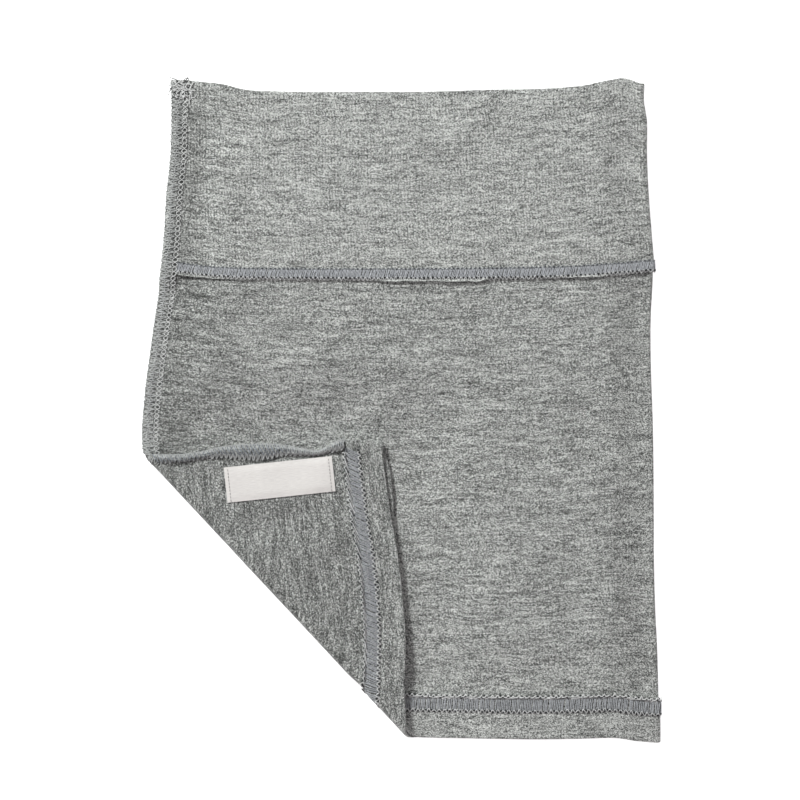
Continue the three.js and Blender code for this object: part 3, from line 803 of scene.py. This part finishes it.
strip_profile = flat_profile(STRIP_LOW, STRIP_TOP, UNDER + ALLOWANCE_THICKNESS, UNDER - STRIP_SINK, STRIP_GRID)
strip = ready(swept("band_seam_allowance", strip_profile, SEAM_EDGE, free_edge),
              HEATHER_STRIP, "band_seam")


# Stitches on the wall. s is the distance from the seam edge, over the front and on along the back.

CREASE_SINK = 0.45
CREASE_SINK_REACH = 2.5
RIGHT_BEND = math.pi * (0.5 * edge_gap(1.0) + DOUBLE_PLY)

# The looper's pass from needle row to needle row: share of the way, and height over the wall
LOOPER_PASS = ((-0.02, -0.05), (0.12, 0.17), (0.5, 0.3), (0.88, 0.17), (1.02, -0.05))

# One stitch of a needle row: share of the pitch, share of the reach to each side of the row, and height
NEEDLE_STITCH = [(0.0, -1.0, -0.3), (0.22, 0.0, 0.12), (0.44, 0.9, 0.1), (0.54, 0.8, 0.0), (0.78, 0.0, 0.05)]

# Each needle hole's painted shade is a dark disc this thick, with this many sides
HOLE_DEPTH = 0.12
HOLE_SIDES = 6


def around_at(s, up):
    """Place around the tube that is s millimetres from the seam edge."""
    left, right = tube_sides(up)
    width = right - left
    return np.select([s <= width, s <= width + RIGHT_BEND], [s / width, 1 + (s - width) / RIGHT_BEND],
                     2 + (s - width - RIGHT_BEND) / width)


def seam_length(up):
    left, right = tube_sides(up)
    return float(2 * (right - left) + RIGHT_BEND)


def wall_threads(s, up, out):
    """Threads on the wall, which sink into the cloth where it turns at the crease."""
    around = around_at(s, up)
    place = tube_point(around, up, out)
    near = np.exp(-(past_crease(place[..., 0], place[..., 1]) / CREASE_SINK_REACH) ** 2)
    return lay(tube_point(around, up, out - CREASE_SINK * near))


def cover_passes(length, pitch, low, high, offsets, slant_front, slant_back):
    """The looper's passes between the two needle rows of a coverstitch."""
    rows = []
    for k in range(int(length / pitch)):
        slant = slant_front if k * pitch < 0.5 * length else slant_back
        for share in offsets:
            s = (k + share) * pitch + rng.normal(0, 0.06)
            lean = slant * rng.uniform(0.8, 1.2)
            rows.append([(s + lean * (x - 0.5) + 0.12 * math.sin(math.pi * x) * rng.normal(), mix(low, high, x),
                          FACE + rise) for x, rise in LOOPER_PASS])
    return joined_curves(rows, wall_threads)


def needle_zigzag(length, pitch, at, base, reach):
    """One thread that zigzags along a needle row: over the surface, down at each stitch."""
    count = int(length / pitch)
    knots = repeated(NEEDLE_STITCH, count)
    size = reach * rng.uniform(0.55, 1.25, (count, 1))
    knots[:, :, 0] = (knots[:, :, 0] + np.arange(count)[:, None]) * pitch + rng.normal(0, 0.11, knots.shape[:2])
    knots[:, :, 1] = at + size * knots[:, :, 1] + rng.normal(0, 0.08, knots.shape[:2])
    knots[:, :, 2] = base + knots[:, :, 2]
    return wall_threads(*joined_curve(knots.reshape(-1, 3), 2).T)


def needle_threads(name, length, pitch, rows, material):
    """Needle rows of (place up the cap, height, reach, radius in front, radius behind), in one piece."""
    paths, radii = [], []
    for *row, front, back in rows:
        paths += np.array_split(needle_zigzag(length, pitch, *row), 2)
        radii += [front, back]
    return sewn(name, paths, radii, material)


def hole_shade_discs(name, length, pitch, rows):
    """Painted shade of the needle holes: small dark discs on the cloth where the needles went through, in rows of
    (up, height, radius, shift along the pitch).
    """
    turn = np.arange(HOLE_SIDES) * 2 * math.pi / HOLE_SIDES
    tops, lows = [], []
    for at, base, radius, shift in rows:
        count = int(length / pitch)
        s = (np.arange(count) + shift) * pitch + rng.normal(0, 0.08, count)
        up = at + rng.normal(0, 0.07, count)
        size = radius * rng.uniform(0.65, 1.2, count)
        ring_s = s[:, None] + size[:, None] * 1.1 * np.cos(turn)
        ring_up = up[:, None] + size[:, None] * np.sin(turn)
        for level, kept in ((base, tops), (base - HOLE_DEPTH, lows)):
            kept.append(wall_threads(ring_s, ring_up, level).reshape(-1, 3))
    points = np.concatenate(tops + lows)
    low = len(points) // 2
    faces = []
    for start in range(0, low, HOLE_SIDES):
        ring = [start + i for i in range(HOLE_SIDES)]
        faces += [ring, [i + low for i in ring[::-1]]]
        faces += [(i, i + low, k + low, k) for i, k in zip(ring, ring[1:] + ring[:1])]
    mesh = pattern_mesh(name, points * MM, faces)
    outward(mesh)
    return ready(new_object(name, mesh), PAINTED_SHADE)


HEM_PITCH = 2.45
HEM_STITCH_DEPTH = 6.3
BAND_PITCH = 2.0
BAND_STITCH_DEPTH = 4.4
FACE = DOUBLE_PLY + 0.05

hem_low, hem_high = HEM_TOP - HEM_STITCH_DEPTH, HEM_TOP + 0.1
hem_run = seam_length(HEM_TOP)
hem_passes = cover_passes(hem_run, HEM_PITCH, hem_low, hem_high, (0.08, 0.37, 0.66), 0.3, 1.7)
hem_loopers = sewn("hem_looper_threads", hem_passes, 0.27, LOOPER)
hem_needles = needle_threads("hem_needle_threads", hem_run, HEM_PITCH, [
    (hem_high + 0.2, FACE + 0.46, 1.05, 0.21, 0.14),
    (hem_low + 0.05, FACE + 0.4, 0.95, 0.15, 0.19),
], NEEDLE)
# Dark discs that paint the shade of the hem's needle holes
hem_hole_shade = hole_shade_discs("hem_hole_shade_discs", hem_run, HEM_PITCH, [
    (hem_high - 0.05, FACE + 0.74, 0.52, 0.5),
    (hem_high + 0.85, FACE + 0.1, 0.36, 1.0),
    (hem_low - 0.3, FACE + 0.36, 0.42, 0.5),
    (hem_low + 0.4, FACE + 0.7, 0.42, 1.0),
])

band_low, band_high = JOINT - 0.5 - BAND_STITCH_DEPTH, JOINT - 0.4
band_run = seam_length(JOINT)
band_passes = cover_passes(band_run, BAND_PITCH, band_low, band_high, (0.1, 0.4, 0.72), 0.8, 0.8)
band_loopers = sewn("band_looper_threads", band_passes, 0.23, BAND_LOOPER)
band_needles = needle_threads("band_needle_threads", band_run, BAND_PITCH,
                              [(band_low, FACE + 0.38, 0.8, 0.15, 0.15)], NEEDLE)
band_upper_needles = needle_threads("band_upper_needle_threads", band_run, BAND_PITCH,
                                    [(band_high + 0.05, FACE + 0.26, 0.6, 0.16, 0.16)], ROPE)
# Dark discs that paint the shade of the band seam's needle holes
band_hole_shade = hole_shade_discs("band_hole_shade_discs", band_run, BAND_PITCH, [
    (band_low + 0.36, FACE + 0.66, 0.52, 1.0),
    (band_high + 0.15, FACE + 0.52, 0.3, 0.5),
])


# The overlocked side seam

SERGE_PITCH = 2.3
ALLOWANCE_GRID = 1.3

# How far the allowance rises where it rolls up, and the runs over which the roll starts and ends
CORD_RISE = 0.95
CORD_FROM, CORD_FADE_IN = 2, 8
CORD_TO, CORD_FADE_OUT = FOLD_UP_SEAM - 4, 12

# Section of the allowance: share of its width out from the wall, and height as a share of its stack
ALLOWANCE_RING = np.array([
    (-0.36, 1.04), (0, 1.07), (0.2, 1.08), (0.45, 1.08), (0.7, 1.04), (0.92, 0.98), (1, 0.5), (0.92, 0.02),
    (0.7, -0.04), (0.45, -0.02), (0.2, -0.02), (0, -0.02), (-0.34, -0.03), (-0.3, 0.02), (-0.03, 0.06), (-0.03, 0.94),
    (-0.32, 0.99),
])


def rolled(up):
    """1 along the turned-up part of the seam, where the allowance rolls up."""
    return smooth((CORD_TO - up) / CORD_FADE_OUT) * smooth((up - CORD_FROM) / CORD_FADE_IN)


def strip_point(out, up, z):
    """A point of the side allowance: share of its width out, length up it, and height as a share of its stack."""
    out, up, z = floats(out, up, z)
    thin = EDGE_THINNING * smooth(2 * out - 1)
    height = mix(thin, 1 - thin, z) * pressed_stack(up)
    crown = np.clip(1 - (2 * np.clip(out, 0, 1) - 1) ** 2, 0, 1)
    height = height - CORD_RISE * rolled(up) * crown * (1 - np.clip(z, 0, 1))
    x = seam_line(up) - allowance_width(up) * out
    return np.stack([x, course(0.0, up), height, up], -1)


def side_allowance():
    up = spread(SEAM_START, LENGTH, ALLOWANCE_GRID)
    points = strip_point(ALLOWANCE_RING[None, :, 0], up[:, None], ALLOWANCE_RING[None, :, 1])
    rows, sides = len(up), len(ALLOWANCE_RING)
    corners, faces = lattice(rows - 1, sides)
    coordinates = at_corners(corners, lambda i, j: (up[i], j.astype(float)))
    ends = [list(range(sides))[::-1], list(range((rows - 1) * sides, rows * sides))]
    return folded_mesh("side_allowance", points.reshape(-1, 4), faces.tolist() + ends, coordinates)


def strip_threads(out, up, z):
    """Threads on the side allowance. z goes from 0, its lower face, to 1, its upper."""
    return lay(strip_point(out, up, z))


def along_seam(pattern, jitter=0.03, end=math.inf):
    """One thread along the allowance, from the top of the hem: a pattern of (out, up in pitches, z) repeated."""
    count = int(LENGTH / SERGE_PITCH)
    knots = repeated(pattern, count)
    knots[:, :, 1] = (knots[:, :, 1] + np.arange(count)[:, None]) * SERGE_PITCH
    for axis, size in ((1, 2.5 * jitter), (0, jitter), (2, jitter)):
        knots[:, :, axis] += rng.normal(0, size, knots.shape[:2])
    knots = knots.reshape(-1, 3)
    return strip_threads(*joined_curve(knots[(knots[:, 1] > SEAM_START) & (knots[:, 1] < end)], 3).T)


def on_face(pattern, z):
    return [(out, up, z) for out, up in pattern]


SEAM_START = HEM_TOP + JOIN_GAP
allowance = ready(side_allowance(), HEATHER_EDGE, "side_seam")

TOP, LOW = 1.1, -0.1
FULL_V = [(0.02, 0.0), (0.35, 0.16), (0.7, 0.36), (0.98, 0.5), (0.7, 0.66), (0.35, 0.84)]
INNER_LOOP = [(0.02, 0.0), (0.3, 0.18), (0.52, 0.5), (0.3, 0.84)]
EDGE_LOOP = [(1.03, 0.5), (0.78, 0.7), (0.5, 1.0), (0.78, 1.32)]
WRAP = [(0.93, 0.0, 1.02), (1.05, 0.25, 0.6), (1.02, 0.45, 0.2), (0.93, 0.55, 0.0), (1.04, 0.75, 0.45),
        (1.0, 0.9, 0.8)]
CHAIN = [(-0.2, 0.0), (-0.05, 0.25), (-0.01, 0.5), (-0.05, 0.75)]
CHAIN_SPAN = -0.4

serge = sewn("side_overlock_threads", [
    along_seam(on_face(FULL_V, TOP), 0.05),
    along_seam(on_face(INNER_LOOP, TOP + 0.03)),
    along_seam(on_face(EDGE_LOOP, TOP - 0.02)),
    along_seam(on_face(FULL_V, LOW), 0.05),
    along_seam(on_face(EDGE_LOOP, LOW + 0.02)),
    along_seam(WRAP),
], 0.17, OVERLOCK)
serge_needles = sewn("side_needle_threads", [
    along_seam(on_face(CHAIN, TOP + 0.06), 0.02),
    along_seam([(CHAIN_SPAN - out, up, TOP + 0.04) for out, up in CHAIN], 0.02),
], 0.15, NEEDLE)

# Where the allowance rolls up along the turned-up corner: strands laid aslant over the roll, and chains along it
STRAND_PITCH = 2.0
STRAND_LEAN = -3.0
STRAND_RADIUS = 0.48
CORD_END = FOLD_UP_SEAM - 6.0
LOW_CHAIN_END = 0.72 * FOLD_UP_SEAM
NARROW_CHAIN_END = 0.4 * FOLD_UP_SEAM

# A strand: share of the allowance's width out, share of its lean, and z
STRAND = [(0.16, 0.6, -0.02), (0.4, 0.2, -0.3), (0.7, -0.25, -0.3), (0.95, -0.6, 0.05), (1.06, -0.8, 0.5)]
EDGE_CHAIN = [(0.8, 0.0, -0.3), (1.08, 0.3, -0.1), (0.98, 0.55, -0.32), (0.7, 0.8, -0.38)]
LOW_CHAIN = [(-0.06, 0.0, -0.14), (0.2, 0.3, -0.34), (0.3, 0.55, -0.34), (0.04, 0.8, -0.26)]
NARROW_CHAIN = [(0.1, 0.0, -0.3), (0.9, 0.3, -0.42), (1.25, 0.5, -0.3), (0.7, 0.75, -0.45)]


def cord_strands():
    rows, radii = [], []
    for up in np.arange(SEAM_START + 1.5, CORD_END, STRAND_PITCH):
        share = float(np.clip(allowance_width(up) / SERGE_WIDTH, 0.4, 1.0))
        lean = STRAND_LEAN * share * rng.uniform(0.8, 1.2)
        start = up + rng.normal(0, 0.1)
        rows.append([(out, start + leaning * lean, z) for out, leaning, z in STRAND])
        radii.append(STRAND_RADIUS * share)
    return joined_curves(rows, strip_threads), radii


def cord_chains(pattern, end, side, out_shift, z_shift):
    """A chain along the roll, and its mate half a pitch on."""
    mate = [(side * out + out_shift, up + 0.5, z + z_shift) for out, up, z in pattern]
    return [along_seam(chain, 0.02, end) for chain in (pattern, mate)]


cord = sewn("side_cord_threads", *cord_strands(), ROPE)
cord_edges = sewn("side_cord_chains", cord_chains(EDGE_CHAIN, CORD_END, 1, 0, -0.05)
                  + cord_chains(LOW_CHAIN, LOW_CHAIN_END, -1, 0.16, 0), 0.2, OVERLOCK)
cord_narrow = sewn("side_cord_narrow_chain", cord_chains(NARROW_CHAIN, NARROW_CHAIN_END, 1, -0.1, -0.05), 0.17,
                   OVERLOCK)


# The frayed thread ends at the upper end of the side seam, in the frame's millimetres

TUFT_ROOT = np.array([-100.9, 148.7, 4.5])
TUFT_SPREAD = ((-4.2, 4.2), (-4.4, 3.2), (-0.5, 0.5))
TUFT_THREADS = 80
TUFT_STEPS = 6
TUFT_LENGTHS = (2.2, 5.0)
TUFT_CURLS = (-3.2, 3.2)
TUFT_LEVELS = (3.9, 5.6)
DARK_SINK = 0.3


def tuft():
    """Light threads, and one in three near-black ones under them as painted shade inside the tuft."""
    light, dark = [], []
    for k in range(TUFT_THREADS):
        path = [TUFT_ROOT + np.array([rng.uniform(*span) for span in TUFT_SPREAD])]
        heading = rng.uniform(0, 2) * math.pi
        length = rng.uniform(*TUFT_LENGTHS)
        curl = rng.uniform(*TUFT_CURLS)
        for _ in range(TUFT_STEPS):
            heading += curl / TUFT_STEPS + rng.normal(0, 0.12)
            way = np.array([math.cos(heading), math.sin(heading), rng.normal(0, 0.12)])
            path.append(path[-1] + length / TUFT_STEPS * way)
        path = np.array(path)
        path[:, 2] = np.clip(path[:, 2], *TUFT_LEVELS) - (0.0 if k % 3 else DARK_SINK)
        (light if k % 3 else dark).append(joined_curve(path, 2))
    return light, dark


tuft_light, tuft_dark = tuft()
frayed = sewn("frayed_light_threads", tuft_light, 0.19, NEEDLE)
# Near-black threads under the light ones paint the shade inside the tuft
frayed_dark = sewn("frayed_shade_threads", tuft_dark, 0.18, PAINTED_SHADE)


# The label

LABEL_GRID = 0.8
LABEL_PUFF = 0.28
LABEL_WAVE = 0.1
PUFF_RUN = 3.0
LABEL_STITCH_PITCH = 1.55
LABEL_STITCH_FROM_END = 1.7

# One stitch across the label's end: distance across it, and height over the label
LABEL_STITCH = ((0.0, -0.3), (0.25, 0.08), (0.75, 0.08), (1.0, -0.3))


def label_frame():
    stretch = FOLD_UP_SEAM / np.linalg.norm(plain_side(0.0) - plain_side(FOLD_UP_SEAM))
    low = HEM_TOP + LABEL_ABOVE_HEM * stretch
    high = low + LABEL_LENGTH * stretch
    direction = plain_side(high) - plain_side(low)
    direction /= np.linalg.norm(direction)
    turn, lean = math.cos(LABEL_TILT), math.sin(LABEL_TILT)
    direction = np.array([direction[0] * turn + direction[1] * lean, direction[1] * turn - direction[0] * lean])
    inward = np.array([direction[1], -direction[0]])
    base = (plain_side(0.5 * (low + high)) - 0.5 * LABEL_LENGTH * direction
            + (SERGE_WIDTH + CLEARANCE + LABEL_FROM_SEAM) * inward)
    return base, inward, direction, low, stretch


LABEL_BASE, LABEL_INWARD, LABEL_ALONG, LABEL_LOW, LABEL_STRETCH = label_frame()


def label_point(across, along, lift):
    """A point of the label: millimetres from its seam side, from its hem end, and out from the wall."""
    across, along, lift = floats(across, along, lift)
    x = LABEL_BASE[0] + LABEL_INWARD[0] * across + LABEL_ALONG[0] * along
    y = LABEL_BASE[1] + LABEL_INWARD[1] * across + LABEL_ALONG[1] * along
    return np.stack([x, y, -lift, LABEL_LOW + along * LABEL_STRETCH], -1)


def label_mesh():
    a, b = np.meshgrid(spread(0, LABEL_WIDTH, LABEL_GRID), spread(0, LABEL_LENGTH, LABEL_GRID), indexing="ij")
    edge = np.minimum.reduce([a, LABEL_WIDTH - a, b, LABEL_LENGTH - b])
    puff = (LABEL_PUFF + LABEL_WAVE * np.sin(b / 4.3 + 0.7)) * smooth(edge / PUFF_RUN)
    upper = label_point(a, b, CLEARANCE + 0.35 * LABEL_THICKNESS + puff)
    lower = label_point(a, b, CLEARANCE + puff - 0.1)
    m, n = a.shape
    points = np.concatenate([upper.reshape(-1, 4), lower.reshape(-1, 4)])
    faces, coordinates = [], []

    def add(corners):
        faces.append([c[0] * m * n + c[1] * n + c[2] for c in corners])
        coordinates.extend([(b[c[1], c[2]], a[c[1], c[2]]) for c in corners])

    for i in range(m - 1):
        for j in range(n - 1):
            add([(0, i, j), (0, i + 1, j), (0, i + 1, j + 1), (0, i, j + 1)])
            add([(1, i, j), (1, i, j + 1), (1, i + 1, j + 1), (1, i + 1, j)])
    rim = [(i, 0) for i in range(m)] + [(m - 1, j) for j in range(1, n)]
    rim += [(m - 1 - i, n - 1 - j) for i, j in rim[1:-1]]
    for here, there in zip(rim, rim[1:] + rim[:1]):
        add([(0, *here), (1, *here), (1, *there), (0, *there)])
    return folded_mesh("label_satin", points, faces, coordinates)


label = ready(label_mesh(), SATIN, "label")


def label_stitches():
    paths = []
    lift = CLEARANCE + 0.45 * LABEL_THICKNESS + 0.2
    for along in (LABEL_STITCH_FROM_END, LABEL_LENGTH - LABEL_STITCH_FROM_END):
        for start in np.arange(1.0, LABEL_WIDTH - 0.8, LABEL_STITCH_PITCH):
            knots = [(start + across, along, lift + rise) for across, rise in LABEL_STITCH]
            paths.append(lay(label_point(*joined_curve(knots, 2).T)))
    return paths


label_sewing = sewn("label_stitches", label_stitches(), 0.13, LABEL_THREAD, 4)


# Floor, light and camera

PIXEL = 0.46
FRAME_WIDTH = 800 * PIXEL * MM
VIEW_CENTRE = (-0.47 * MM, 5.12 * MM)
CAMERA_HEIGHT = 2.0
CLOTH_LEVEL = 0.004
SENSOR = 36.0
FLOOR_SIZE = 6
FLOOR_GLOW = 0.7
SKY = 0.4

# Lamps: name, place, size, power, colour
KEY = ("key", (-1.5, 1.95, 1.75), 0.7, 100.0, (0.985, 1.0, 0.985))
FILL = ("fill", (0.35, -1.5, 0.8), 0.6, 3.0, (1.0, 0.72, 0.82))


def floor():
    bpy.ops.mesh.primitive_plane_add(size=FLOOR_SIZE, location=(0, 0, 0))
    made = bpy.context.object
    made.name = "floor"
    t = Tree("floor_white")
    grain = t.noise(t.node("ShaderNodeTexCoord").outputs["Object"])
    color = t.ramp(grain, [(0.0, (0.93, 0.93, 0.93)), (1.0, (0.95, 0.95, 0.95))])
    t.finish(color, 0.9, Emission_Color=(1, 1, 1, 1), Emission_Strength=FLOOR_GLOW)
    made.data.materials.append(t.material)


def light_and_camera():
    scene = bpy.context.scene
    world = bpy.data.worlds.new("studio")
    world.use_nodes = True
    background = world.node_tree.nodes["Background"].inputs
    background["Color"].default_value = (1.0, 1.0, 1.0, 1.0)
    background["Strength"].default_value = SKY
    scene.world = world
    for name, place, size, power, color in (KEY, FILL):
        lamp = bpy.data.lights.new(name, "AREA")
        lamp.shape = "DISK"
        lamp.size = size
        lamp.energy = power
        lamp.color = color
        made = new_object(name, lamp)
        made.location = place
        made.rotation_euler = (-Vector(place)).to_track_quat("-Z", "Y").to_euler()
    camera = bpy.data.cameras.new("camera")
    camera.sensor_width = SENSOR
    camera.lens = SENSOR * CAMERA_HEIGHT / FRAME_WIDTH
    eye = new_object("camera", camera)
    eye.location = (*VIEW_CENTRE, CAMERA_HEIGHT + CLOTH_LEVEL)
    scene.camera = eye
    scene.view_settings.view_transform = "Standard"


floor()
light_and_camera()
